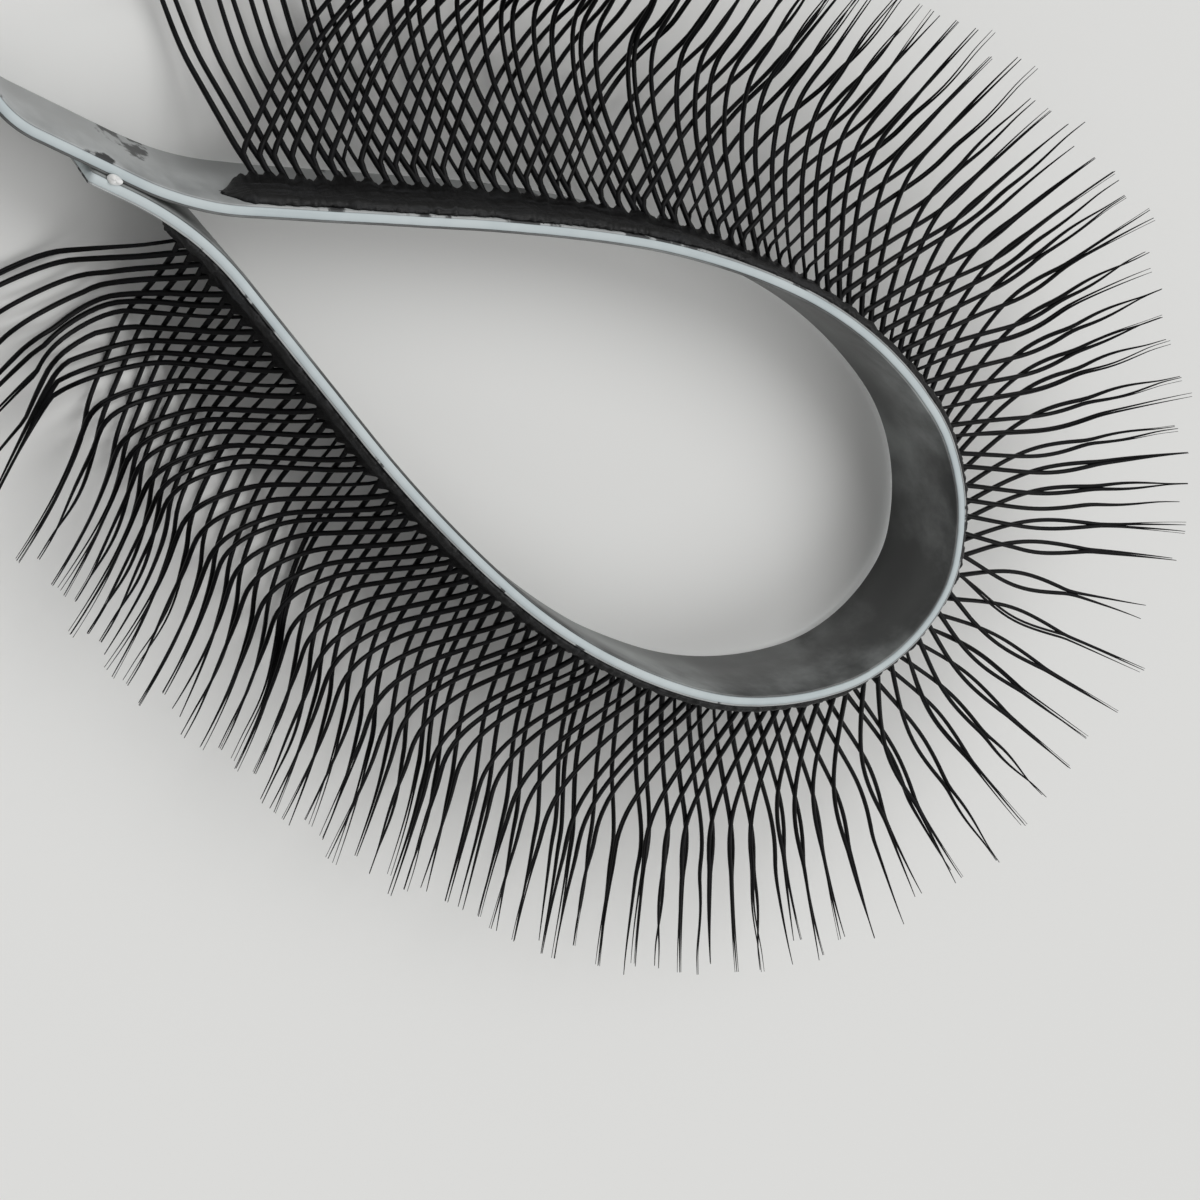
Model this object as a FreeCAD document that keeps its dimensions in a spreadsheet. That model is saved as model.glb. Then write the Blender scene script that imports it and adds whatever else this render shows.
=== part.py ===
import FreeCAD, Part
import math
import os

import Sketcher

# A strip of woven false eyelashes on a self-adhesive backing tape. The tape stands on edge and is bent
# into a teardrop loop, its two bare tails stuck together at the narrow end. The lashes hang from a root
# band on the outside of the tape, curl under it and outwards, and carry the loop on their bellies.
# Lengths are millimetres and angles degrees. +X runs from the tails to the round end, +Z is up.

SIZES = {
    # the tape's route, seen from above
    "loop_length": 76.4,
    "tab_flat": 3.2,
    "tab_curl": 1.7,
    "tab_curl_turn": 34.0,
    "lower_tail": 1.3,
    "bond_gap": 0.02,
    # the layers of the tape
    "tape_width": 4.0,
    "core_thickness": 0.26,
    "adhesive_thickness": 0.08,
    "film_thickness": 0.06,
    # the band that holds the lash roots
    "band_setback": 0.25,
    "root_drop": 1.6,
    "band_margin": 0.8,
    "bare_upper": 4.9,
    "bare_lower": 3.1,
    # the lashes
    "root_pitch": 0.53,
    "root_angle": 50.0,
    "hang_length": 3.5,
    "curl_length": 3.9,
    "curl_radius": 2.33,
    "flare_length": 5.7,
    "flare_radius": 11.7,
    "lean_angle": 24.5,
    "lean_spread": 0.9,
    "stem_diameter": 0.14,
    "tip_diameter": 0.04,
    "weave_clearance": 0.02,
    "layer_settle": 1.2,
    "bend_window": 6.0,
    # the bead of adhesive squeezed out where the tails meet
    "bead_length": 0.7,
    "bead_width": 0.42,
    "bead_height": 0.22,
}

# Each arc of the loop from the upper tail round to the lower one: the share of the loop's length that it
# takes, and its turn, anticlockwise counted positive. A straight run follows the opening bend and another
# leads to the closing bend. Their lengths are worked out so that the tails meet.
OPENING_BEND_SHARES = (0.0455, 21.1)
ARC_SHARES = (
    (0.0686, -4.0),
    (0.0933, -14.0),
    (0.0983, -25.4),
    (0.0836, -46.7),
    (0.0194, -24.6),
    (0.0675, -51.5),
    (0.0823, -30.8),
    (0.1106, -20.2),
    (0.0997, -8.4),
)
CLOSING_BEND_SHARE = 0.0573
HALF_TURN = 180.0

# A stem keeps its full thickness over this share of its length and then tapers to its tip.
FULL_THICKNESS_SHARE = 0.5
# Crossing stems stop leaning and run side by side between these shares of their length.
LEAN_ENDS_SHARES = (0.5, 0.68)

FANS_PER_NODE = 4
STEM_SPANS = 14
STEM_SIDES = 6
STEPS_PER_SPAN = 4


def make_sheet(document):
    """Put the driving dimensions in a spreadsheet, one named cell each."""
    sheet = document.addObject("Spreadsheet::Sheet", "Sizes")
    for row, (name, value) in enumerate(SIZES.items(), start=1):
        sheet.set("A%d" % row, name)
        sheet.set("B%d" % row, str(value))
        sheet.setAlias("B%d" % row, name)
    document.recompute()
    return sheet


def smooth(share):
    """Ease from 0 to 1 as the share goes from 0 to 1."""
    share = min(max(share, 0.0), 1.0)
    return share * share * (3.0 - 2.0 * share)


class Route:
    """The tape's route seen from above, as straight runs and tangent arcs.

    The distance along it is 0 where the upper tail leaves the other, counted round the loop. The
    outward side is on the left.
    """

    def __init__(self, runs, start, heading):
        self.pieces = []
        x, y = start
        begin = 0.0
        for length, turn in runs:
            piece = (begin, length, x, y, heading, math.radians(turn) / length)
            self.pieces.append(piece)
            x, y, heading = self.follow(piece, length)
            begin += length
        self.end = (x, y)
        self.length = begin

    @staticmethod
    def follow(piece, along):
        """Give the place and heading at a distance along one run or arc."""
        _, _, x, y, heading, bend = piece
        turned = bend * along
        chord = along * (math.sin(turned / 2) / (turned / 2) if turned else 1.0)
        mean = heading + turned / 2
        return x + chord * math.cos(mean), y + chord * math.sin(mean), heading + turned

    def at(self, distance):
        """Give the place and heading at a distance along the route, straight on past its ends."""
        for piece in self.pieces:
            if distance <= piece[0] + piece[1]:
                break
        if distance < 0.0 or distance > self.length:
            edge = min(max(distance, 0.0), self.length)
            x, y, heading = self.at(edge)
            beyond = distance - edge
            return x + beyond * math.cos(heading), y + beyond * math.sin(heading), heading
        return self.follow(piece, distance - piece[0])

    def beside(self, distance, outward):
        """Give a place that lies outward of the route."""
        x, y, heading = self.at(distance)
        return FreeCAD.Vector(x - outward * math.sin(heading), y + outward * math.cos(heading), 0)

    def edges(self, first, last, outward):
        """Give the lines and arcs between two distances, moved outward."""
        made = []
        for begin, length, _, _, _, bend in self.pieces:
            low = max(first, begin)
            high = min(last, begin + length)
            if high <= low:
                continue
            ends = [self.beside(place, outward) for place in (low, (low + high) / 2, high)]
            if bend:
                made.append(Part.Arc(*ends))
            else:
                made.append(Part.LineSegment(ends[0], ends[2]))
        return made


def loop_runs(size):
    """Work out the loop's runs and arcs, with the two straights that let the tails meet."""
    whole = size("loop_length")
    arcs = [(share * whole, turn) for share, turn in ARC_SHARES]
    opening = (OPENING_BEND_SHARES[0] * whole, OPENING_BEND_SHARES[1])
    turned = opening[1] + sum(turn for _, turn in arcs)
    closing = (CLOSING_BEND_SHARE * whole, -HALF_TURN - turned)
    curved = [opening] + arcs + [closing]
    x, y = Route(curved, (0.0, 0.0), 0.0).end
    tails_apart = size("core_thickness") + 2 * size("adhesive_thickness") + size("bond_gap")
    after_opening = math.radians(opening[1])
    before_closing = math.radians(turned)
    spread = math.sin(before_closing - after_opening)
    miss_x = -x
    miss_y = -tails_apart - y
    upper = (miss_x * math.sin(before_closing) - miss_y * math.cos(before_closing)) / spread
    lower = (miss_y * math.cos(after_opening) - miss_x * math.sin(after_opening)) / spread
    return [opening, (upper, 0.0)] + arcs + [(lower, 0.0), closing]


def tape_route(size):
    """Make the whole route: the tab's curl and flat, the loop, and the lower tail."""
    tail = [(size("tab_curl"), size("tab_curl_turn")), (size("tab_flat"), 0.0)]
    runs = tail + loop_runs(size) + [(size("lower_tail"), 0.0)]
    return Route(runs, (0.0, 0.0), -math.radians(size("tab_curl_turn")))


def make_ribbon(document, name, route, first, last, inner, outer, foot, height):
    """Pad a strip that follows the route between two outward distances.

    The strip lies between the distances first and last along the route. Its foot, counted up from the
    tape's lower edge, and its height are expressions in the cells of the sheet.
    """
    body = document.addObject("PartDesign::Body", name)
    body.Label = name
    sketch = body.newObject("Sketcher::SketchObject", name + "_outline")
    plane = next(item for item in body.Origin.OriginFeatures if item.Role == "XY_Plane")
    sketch.AttachmentSupport = [(plane, "")]
    sketch.MapMode = "FlatFace"
    sketch.setExpression("AttachmentOffset.Base.z", foot)
    near = route.edges(first, last, outer)
    far = route.edges(first, last, inner)
    cap = Part.LineSegment(route.beside(last, outer), route.beside(last, inner))
    butt = Part.LineSegment(route.beside(first, inner), route.beside(first, outer))
    sketch.addGeometry(near + [cap] + far + [butt], False)
    pad = body.newObject("PartDesign::Pad", name + "_pad")
    pad.Profile = sketch
    pad.setExpression("Length", height)
    sketch.Visibility = False
    body.Tip = pad
    return body


class LashWeave:
    """The woven lashes: two stems from each root, one leaning each way, in two layers.

    A stem lies in a sheet that hangs straight and slanting from the root band, curls under and outwards
    on one arc and flares back on a flatter one. Its place in the sheet is a distance down from the root and a distance along
    the tape.
    """

    def __init__(self, size, route, first, last, face):
        self.route = route
        self.first = first
        self.last = last
        self.face = face
        self.hang = size("hang_length")
        self.curled = self.hang + size("curl_length")
        self.length = self.curled + size("flare_length")
        self.curl = size("curl_radius")
        self.flare = size("flare_radius")
        self.root_angle = math.radians(size("root_angle"))
        self.root_height = size("tape_width") - size("root_drop")
        self.lean = math.radians(size("lean_angle"))
        self.spread = size("lean_spread")
        self.stem = size("stem_diameter") / 2
        self.tip = size("tip_diameter") / 2
        self.layer = size("stem_diameter") + size("weave_clearance")
        self.settle = size("layer_settle")
        self.window = size("bend_window")
        count = int((last - first) / size("root_pitch")) + 1
        self.roots = [first + (last - first) * (i + 0.5) / count for i in range(count)]

    def bend_near(self, distance):
        """Give the route's mean outward bend about a root."""
        _, _, before = self.route.at(distance - self.window / 2)
        _, _, after = self.route.at(distance + self.window / 2)
        return max(before - after, 0.0) / self.window

    def profile(self, down, outward):
        """Give how far out and how high the sheet is, at a distance down it and out from its back."""
        straight = min(down, self.hang)
        under = self.root_angle + (min(down, self.curled) - straight) / self.curl
        angle = under - max(down - self.curled, 0.0) / self.flare
        out = straight * math.sin(self.root_angle)
        out += self.curl * (math.cos(self.root_angle) - math.cos(under))
        out += self.flare * (math.cos(angle) - math.cos(under))
        rise = -straight * math.cos(self.root_angle)
        rise += self.curl * (math.sin(self.root_angle) - math.sin(under))
        rise += self.flare * (math.sin(angle) - math.sin(under))
        turned = angle * smooth(down / self.settle)
        return out + outward * math.cos(turned), rise + outward * math.sin(turned)

    def drift(self, distance):
        """Give how far along the tape a stem has leaned at each section."""
        bend = self.bend_near(distance)
        sideways = math.sin(self.lean + self.spread * bend)
        steps = STEM_SPANS * STEPS_PER_SPAN
        step = self.length / steps
        begin, end = LEAN_ENDS_SHARES
        along = 0.0
        drifts = [along]
        for i in range(steps):
            share = (i + 0.5) / steps
            out, _ = self.profile(share * self.length, 0.0)
            widening = 1.0 + bend * out
            lean = math.asin(sideways / widening)
            ease = 1.0 - smooth((share - begin) / (end - begin))
            along += step * math.tan(lean) / widening * ease
            if (i + 1) % STEPS_PER_SPAN == 0:
                drifts.append(along)
        return drifts

    def place(self, distance, out, rise):
        """Turn a distance along the tape, a way out and a height into a point."""
        edge = min(max(distance, self.first), self.last)
        x, y, heading = self.route.at(edge)
        beyond = distance - edge
        across = self.face + out
        return FreeCAD.Vector(
            x + beyond * math.cos(heading) - across * math.sin(heading),
            y + beyond * math.sin(heading) + across * math.cos(heading),
            self.root_height + rise,
        )

    def radius(self, share):
        """Give the stem's radius at a share of its length."""
        taper = max(share - FULL_THICKNESS_SHARE, 0.0) / (1.0 - FULL_THICKNESS_SHARE)
        return self.stem + (self.tip - self.stem) * taper

    def stem_path(self, root, side, outward):
        """Give the points of a stem's sections, lying outward of the back of the sheet.

        Side is -1 for the back layer's stems and 1 for the front layer's.
        """
        points = []
        for i, drift in enumerate(self.drift(root)):
            out, rise = self.profile(self.length * i / STEM_SPANS, outward)
            points.append(self.place(root + side * drift, out, rise))
        return points

    def ring(self, share, centre, outer, along):
        """Make a stem's six-sided section at a share of its length, facing along it."""
        turn = FreeCAD.Rotation(outer - centre, FreeCAD.Vector(), along, "ZXY")
        place = FreeCAD.Placement(centre, turn)
        radius = self.radius(share)
        corners = []
        for i in range(STEM_SIDES):
            angle = 2 * math.pi * i / STEM_SIDES
            corner = FreeCAD.Vector(radius * math.cos(angle), radius * math.sin(angle), 0)
            corners.append(place.multVec(corner))
        return Part.makePolygon(corners + corners[:1])

    def stem_solid(self, root, side):
        """Make one stem as a ruled loft through its sections."""
        middle = self.layer * (1.0 + side / 2)
        centres = self.stem_path(root, side, middle)
        outers = self.stem_path(root, side, middle + self.layer)
        wires = []
        for i, centre in enumerate(centres):
            along = centres[min(i + 1, STEM_SPANS)] - centres[max(i - 1, 0)]
            if i == 0:
                along = FreeCAD.Vector(0, 0, -1)
            wires.append(self.ring(i / STEM_SPANS, centre, outers[i], along))
        return Part.makeLoft(wires, True, True)


def main():
    document = FreeCAD.newDocument("LashStrip")
    sheet = make_sheet(document)

    def size(name):
        return float(sheet.get(name))

    route = tape_route(size)
    loop_start = size("tab_curl") + size("tab_flat")
    loop_end = route.length - size("lower_tail")
    core = size("core_thickness") / 2
    glued = core + size("adhesive_thickness")
    face = core + size("film_thickness")
    first = loop_start + size("bare_upper")
    last = loop_end - size("bare_lower")
    weave = LashWeave(size, route, first, last, face)
    band = face + 2 * weave.layer
    margin = size("band_margin")

    width = "<<Sizes>>.tape_width"
    drop = "<<Sizes>>.root_drop"
    setback = "<<Sizes>>.band_setback"
    end = route.length
    parts = [
        make_ribbon(document, "tape_core", route, 0.0, end, -core, core, "0", width),
        make_ribbon(document, "inner_adhesive", route, 0.0, end, -glued, -core, "0", width),
        make_ribbon(document, "outer_film", route, 0.0, end, core, face, "0", width),
        make_ribbon(
            document, "root_band", route, first - margin, last + margin, face, band,
            width + " - " + drop, drop + " - " + setback,
        ),
    ]

    bead = document.addObject("Part::Ellipsoid", "adhesive_bead")
    bead.Label = "adhesive_bead"
    bead.setExpression("Radius1", "<<Sizes>>.bead_height")
    bead.setExpression("Radius2", "<<Sizes>>.bead_length / 2")
    bead.setExpression("Radius3", "<<Sizes>>.bead_width / 2")
    bead.Angle1 = 0
    parts.append(bead)

    for number, begin in enumerate(range(0, len(weave.roots), FANS_PER_NODE), start=1):
        name = "lash_fans_%02d" % number
        node = document.addObject("Part::Feature", name)
        node.Label = name
        roots = weave.roots[begin:begin + FANS_PER_NODE]
        stems = [weave.stem_solid(root, side) for root in roots for side in (-1, 1)]
        node.Shape = Part.makeCompound(stems)
        parts.append(node)

    document.recompute()
    seat = route.beside(loop_start - size("lower_tail") / 2, -glued - size("bond_gap") / 2)
    whole = FreeCAD.BoundBox()
    for part in parts:
        if part is not bead:
            whole.add(part.Shape.optimalBoundingBox(False))
    shift = FreeCAD.Vector(-whole.Center.x, -whole.Center.y, -whole.ZMin)
    for part in parts:
        part.Placement.Base = shift
    bead.Placement.Base = shift + seat + FreeCAD.Vector(0, 0, size("tape_width"))
    document.recompute()

    for item in document.Objects:
        if "Invalid" in item.State or "Error" in item.State:
            raise RuntimeError("%s did not build: %s" % (item.Label, item.State))
    for part in parts:
        if part.Shape.isNull() or not part.Shape.isValid():
            raise RuntimeError("%s has no valid shape" % part.Label)

    print("box", [round(value, 3) for value in (whole.XLength, whole.YLength, whole.ZLength)])
    print("shift", [round(value, 3) for value in shift])
    print("roots", len(weave.roots), "nodes", len(parts))
    print("runs", [(round(p[1], 2), round(math.degrees(p[4]), 1)) for p in route.pieces])

    os.makedirs("parts", exist_ok=True)
    for part in parts:
        part.Shape.exportStep(os.path.join("parts", part.Label + ".step"))


main()
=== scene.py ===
"""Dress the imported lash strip: the layered tape, its root band and every lash, on a pale studio floor.

Lengths are millimetres in the strip's own frame until a mesh is made, and metres from there on.
"""

from __future__ import annotations

import logging
import math
from dataclasses import dataclass, field
from enum import Enum

import bpy
import numpy as np
from mathutils import Matrix, Vector

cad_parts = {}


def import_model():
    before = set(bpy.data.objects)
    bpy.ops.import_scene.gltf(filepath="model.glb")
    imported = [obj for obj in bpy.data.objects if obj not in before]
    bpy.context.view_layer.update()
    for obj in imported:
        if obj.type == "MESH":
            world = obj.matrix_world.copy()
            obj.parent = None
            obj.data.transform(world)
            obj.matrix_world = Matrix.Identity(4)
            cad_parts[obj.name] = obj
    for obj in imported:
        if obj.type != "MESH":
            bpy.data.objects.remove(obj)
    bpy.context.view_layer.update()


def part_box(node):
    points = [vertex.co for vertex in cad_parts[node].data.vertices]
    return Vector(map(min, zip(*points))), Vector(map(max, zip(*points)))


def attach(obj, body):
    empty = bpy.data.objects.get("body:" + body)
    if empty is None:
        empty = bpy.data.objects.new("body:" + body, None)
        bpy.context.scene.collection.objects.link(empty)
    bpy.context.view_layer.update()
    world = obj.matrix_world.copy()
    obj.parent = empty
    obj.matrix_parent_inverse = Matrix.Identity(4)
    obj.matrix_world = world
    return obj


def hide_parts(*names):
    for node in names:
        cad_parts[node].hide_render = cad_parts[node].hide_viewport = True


LOG = logging.getLogger("lash_strip")
MM = 0.001
MM_PER_CM = 10.0
HALF_TURN = 180.0
NOISE_ROUGHNESS = 0.6
BODY = "root"


class Slot(Enum):
    """The record's material slots."""

    TAPE = "tape"
    ADHESIVE = "adhesive"
    FILM = "film"
    ROOT_GLUE = "root_glue"
    FIBRE = "fibre"
    BEAD = "bead"


class Side(Enum):
    """The way that a stem leans: back layer stems lean towards the tab, front layer stems away from it."""

    BACK = -1
    FRONT = 1


class TipStyle(Enum):
    """How the two stems of a spike end."""

    MERGED = 0
    SPINDLE = 1
    FORK = 2


def smooth(share: np.ndarray | float) -> np.ndarray:
    """Ease from 0 to 1 as the share goes from 0 to 1, with no slope at either end: 3 s^2 - 2 s^3."""
    held = np.clip(share, 0.0, 1.0)
    return held * held * (3.0 - 2.0 * held)


def ease(share: np.ndarray | float, run: tuple[float, float]) -> np.ndarray:
    """Ease from 0 to 1 over part of a length.

    Args:
        share: places along the length.
        run: the place where the rise begins, and how long it is.

    Returns:
        0 before the run, 1 after it and a smooth rise between.
    """
    return smooth((share - run[0]) / run[1])


def wander(rng: np.random.Generator, count: int, reach: int) -> np.ndarray:
    """Give a row of random numbers that change slowly along it.

    White noise is averaged over a window of the given reach and scaled back to a spread of one.

    Args:
        rng: the source of random numbers.
        count: how many numbers.
        reach: how many neighbours are averaged.

    Returns:
        An array of count numbers with mean near 0 and deviation near 1.
    """
    white = rng.normal(size=count + reach - 1)
    return np.convolve(white, np.ones(reach), "valid") / math.sqrt(reach)


@dataclass
class TapeRoute:
    """The tape's route seen from above, as straight runs and tangent arcs.

    The distance along it is 0 at the tab's end, and the outward side is on the left of travel. Two straight
    runs of the loop have the lengths that let the tails meet.
    """

    loop_length: float = 76.4
    tab_flat: float = 3.2
    tab_curl: float = 1.7
    tab_curl_turn: float = 34.0
    lower_tail: float = 1.3
    tails_apart: float = 0.44
    tape_width: float = 4.0
    core: float = 0.13
    opening: tuple[float, float] = (0.0455, 21.1)
    arcs: tuple[tuple[float, float], ...] = (
        (0.0686, -4.0), (0.0933, -14.0), (0.0983, -25.4), (0.0836, -46.7), (0.0194, -24.6),
        (0.0675, -51.5), (0.0823, -30.8), (0.1106, -20.2), (0.0997, -8.4),
    )
    closing_share: float = 0.0573
    probe_step: float = 0.05
    # the strands lean over: the tape's lower edge leaves its upper edge sideways by these lengths at these x
    lean_places: tuple[float, ...] = (-19.0, -15.0, -7.0, 3.0)
    leans: tuple[float, ...] = (0.7, 0.55, 0.5, 0.0)

    def __post_init__(self) -> None:
        """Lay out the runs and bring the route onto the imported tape."""
        tail = [(self.tab_curl, self.tab_curl_turn), (self.tab_flat, 0.0)]
        runs = tail + self.loop_runs() + [(self.lower_tail, 0.0)]
        self.table, _ = self.walk(runs, -math.radians(self.tab_curl_turn))
        self.length = float(sum(run[0] for run in runs))
        self.loop_start = self.tab_curl + self.tab_flat
        self.loop_end = self.length - self.lower_tail
        self.shift = np.zeros(3)
        along = np.arange(0.0, self.length, self.probe_step)
        sides = [self.place(along, reach, 0.0, False) for reach in (-self.core, self.core)]
        low = np.concatenate(sides).min(axis=0)
        corner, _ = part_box("tape_core")
        self.shift = np.array(corner) / MM - low

    @staticmethod
    def walk(runs: list[tuple[float, float]], heading: float) -> tuple[np.ndarray, np.ndarray]:
        """Follow the runs from the origin: an arc's chord is its length times sin(half turn) / half turn.

        Args:
            runs: each run's length and its turn in degrees.
            heading: the first run's heading in radians.

        Returns:
            A row for each run (begin, x, y, heading, bend) and the end point.
        """
        rows = []
        begin = x = y = 0.0
        for length, turn in runs:
            turned = math.radians(turn)
            rows.append((begin, x, y, heading, turned / length))
            chord = length * float(np.sinc(turned / 2 / math.pi))
            x += chord * math.cos(heading + turned / 2)
            y += chord * math.sin(heading + turned / 2)
            heading += turned
            begin += length
        return np.array(rows), np.array([x, y])

    def loop_runs(self) -> list[tuple[float, float]]:
        """Work out the loop's runs, with the two straights that bring the tails together.

        The tails are parallel, so the turns add up to half a turn, and the straights solve
        upper * first way + lower * second way = where the tail should end - where it ends without them.

        Returns:
            Each run's length and its turn in degrees.
        """
        arcs = [(share * self.loop_length, turn) for share, turn in self.arcs]
        opening = (self.opening[0] * self.loop_length, self.opening[1])
        turned = opening[1] + sum(turn for _, turn in arcs)
        closing = (self.closing_share * self.loop_length, -HALF_TURN - turned)
        _, end = self.walk([opening] + arcs + [closing], 0.0)
        first = math.radians(opening[1])
        second = math.radians(turned)
        ways = np.array([[math.cos(first), math.cos(second)], [math.sin(first), math.sin(second)]])
        upper, lower = np.linalg.solve(ways, np.array([0.0, -self.tails_apart]) - end)
        return [opening, (float(upper), 0.0)] + arcs + [(float(lower), 0.0), closing]

    def at(self, along: np.ndarray) -> tuple[np.ndarray, np.ndarray, np.ndarray]:
        """Give x, y and heading at distances along the route, straight on past its ends.

        Args:
            along: distances along the route.

        Returns:
            Arrays of x, y and heading, shaped as along.
        """
        held = np.clip(along, 0.0, self.length)
        run = np.clip(np.searchsorted(self.table[:, 0], held, side="right") - 1, 0, None)
        begin, x, y, heading, bend = np.moveaxis(self.table[run], -1, 0)
        step = held - begin
        turned = bend * step
        chord = step * np.sinc(turned / 2 / math.pi)
        x = x + chord * np.cos(heading + turned / 2)
        y = y + chord * np.sin(heading + turned / 2)
        heading = heading + turned
        beyond = along - held
        return x + beyond * np.cos(heading), y + beyond * np.sin(heading), heading

    def place(
        self, along: np.ndarray, across: np.ndarray | float, height: np.ndarray | float, leaning: bool = True,
        tilting: np.ndarray | float = 0.0,
    ) -> np.ndarray:
        """Turn strip coordinates into points: along the route, outward of it and up from the tape's foot.

        The strands lean over, so a point moves sideways in proportion to its depth below the tape's upper
        edge. What stands out from the tape turns with it and moves up or down in proportion to its reach.

        Args:
            along: distances along the route.
            across: distances outward of it.
            height: heights above the tape's lower edge.
            leaning: whether the strands' lean counts.
            tilting: how far, from 0 to 1, the lean's rise or fall counts.

        Returns:
            Points in millimetres in the strip's frame, with one more axis than along.
        """
        x, y, heading = self.at(np.asarray(along, float))
        lean = np.interp(x + self.shift[0], self.lean_places, self.leans) / self.tape_width * leaning
        sideways = across * np.cos(heading)
        x = x - across * np.sin(heading) + self.shift[0]
        y = y + sideways + lean * (self.tape_width - height) + self.shift[1]
        z = height + lean * sideways * tilting + self.shift[2]
        return np.stack([x, y, z + np.zeros_like(x)], axis=-1)


def make_object(
    name: str, points: np.ndarray, faces: list[list[int]], uvs: np.ndarray | None = None
) -> bpy.types.Object:
    """Make a smooth-shaded mesh object at the origin from points in millimetres.

    Args:
        name: the piece's name.
        points: an array of points, one row each.
        faces: the corner numbers of each face.
        uvs: one texture coordinate for each point, or None.

    Returns:
        The new object.
    """
    mesh = bpy.data.meshes.new(name)
    mesh.from_pydata((points * MM).tolist(), [], faces)
    mesh.shade_smooth()
    if uvs is not None:
        corners = np.zeros(len(mesh.loops), np.int32)
        mesh.loops.foreach_get("vertex_index", corners)
        layer = mesh.uv_layers.new(name="strip")
        layer.data.foreach_set("uv", uvs[corners].astype(np.float32).ravel())
    mesh.validate()
    made = bpy.data.objects.new(name, mesh)
    bpy.context.scene.collection.objects.link(made)
    return made


def grid_faces(rows: int, columns: int) -> np.ndarray:
    """Give the quads of a grid that is closed across its columns, with each row one ring of points.

    Args:
        rows: how many rings.
        columns: how many points a ring has.

    Returns:
        The corner numbers of each quad, one row each.
    """
    i, j = np.meshgrid(np.arange(rows - 1), np.arange(columns), indexing="ij")
    beside = (j + 1) % columns
    here, above = i * columns, (i + 1) * columns
    quads = np.stack([here + j, here + beside, above + beside, above + j], -1)
    return quads.reshape(-1, 4)


def ribbon(
    name: str, route: TapeRoute, along: np.ndarray, across: np.ndarray, height: np.ndarray
) -> bpy.types.Object:
    """Carry a closed section along the route.

    The surface is place(along[i], across[i, j], height[i, j]), where j runs round the section clockwise
    seen along the route, and a flat cap closes each end.

    Args:
        name: the piece's name.
        route: the tape's route.
        along: the stations, one for each ring.
        across: how far outward each point of each ring lies.
        height: how high each point of each ring lies.

    Returns:
        The new object, with texture coordinates in centimetres along and up the tape.
    """
    rings, around = across.shape
    stations = np.repeat(along[:, None], around, axis=1)
    points = route.place(stations, across, height).reshape(-1, 3)
    faces = grid_faces(rings, around).tolist()
    faces.append(list(range(around))[::-1])
    faces.append([(rings - 1) * around + j for j in range(around)])
    uvs = np.stack([stations, height], axis=-1).reshape(-1, 2) / MM_PER_CM
    return make_object(name, points, faces, uvs)


def tubes(
    name: str, centres: np.ndarray, outs: np.ndarray, radii: np.ndarray, sides: int
) -> bpy.types.Object:
    """Make many tubes as one mesh.

    Ring j of tube i is centres[i, j] + radii[i, j] * (cos a * n + sin a * b), where n is the outward way
    made square to the tube, b is square to both, and a steps round the ring. Both ends are capped.

    Args:
        name: the piece's name.
        centres: points, tube by ring.
        outs: a way out of the sheet at each ring.
        radii: radius, tube by ring.
        sides: how many sides a ring has.

    Returns:
        The new object.
    """
    count, rings, _ = centres.shape
    ways = np.gradient(centres, axis=1)
    ways /= np.linalg.norm(ways, axis=-1, keepdims=True)
    normals = outs - (outs * ways).sum(-1, keepdims=True) * ways
    normals /= np.linalg.norm(normals, axis=-1, keepdims=True)
    sideways = np.cross(ways, normals)
    turn = 2 * math.pi * np.arange(sides) / sides
    spread = np.cos(turn)[:, None] * normals[:, :, None] + np.sin(turn)[:, None] * sideways[:, :, None]
    points = centres[:, :, None] + radii[:, :, None, None] * spread
    first = rings * sides * np.arange(count)[:, None]
    ring = np.arange(sides)[None]
    quads = grid_faces(rings, sides)[None] + first[:, :, None]
    caps = [first + ring[:, ::-1], first + (rings - 1) * sides + ring]
    faces = quads.reshape(-1, 4).tolist() + np.concatenate(caps).tolist()
    return make_object(name, points.reshape(-1, 3), faces)


class Graph:
    """A material's node tree, with short ways to add nodes and links."""

    def __init__(self, name: str) -> None:
        """Start a material with one Principled shader."""
        self.material = bpy.data.materials.new(name)
        self.material.use_nodes = True
        self.tree = self.material.node_tree
        self.shader = self.tree.nodes["Principled BSDF"]

    def add(self, kind: str, **values: object) -> bpy.types.Node:
        """Add a node and set its attributes or input values, named as in Blender."""
        return add_node(self.tree, kind, **values)

    def link(self, source: bpy.types.NodeSocket, target: bpy.types.NodeSocket) -> None:
        """Join two sockets."""
        self.tree.links.new(source, target)

    def set(self, **values: float | tuple[float, ...]) -> None:
        """Set the shader's own sockets, named with underscores for spaces."""
        for key, value in values.items():
            self.shader.inputs[key.replace("_", " ")].default_value = value

    def group(self, tree: bpy.types.NodeTree, **values: object) -> bpy.types.Node:
        """Place a node group and set its inputs.

        Args:
            tree: the group's own nodes.
            values: the values of its inputs, by name.

        Returns:
            The node that holds the group.
        """
        return self.add("ShaderNodeGroup", node_tree=tree, **values)

    def bump(self, height: bpy.types.NodeSocket, strength: float, distance: float) -> None:
        """Drive the shader's normal by a relief.

        Args:
            height: the relief, from 0 to 1.
            strength: how much of it counts.
            distance: its depth in metres.
        """
        node = self.add("ShaderNodeBump", Strength=strength, Distance=distance)
        self.link(height, node.inputs["Height"])
        self.link(node.outputs["Normal"], self.shader.inputs["Normal"])


def add_node(tree: bpy.types.NodeTree, kind: str, **values: object) -> bpy.types.Node:
    """Add a node to a tree and set its attributes, or else its input values.

    Args:
        tree: the tree that takes the node.
        kind: the node's type in Blender.
        values: the values by name, with underscores for spaces in an input's name.

    Returns:
        The new node.
    """
    node = tree.nodes.new(kind)
    for key, value in values.items():
        if hasattr(node, key):
            setattr(node, key, value)
        else:
            node.inputs[key.replace("_", " ")].default_value = value
    return node


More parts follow.
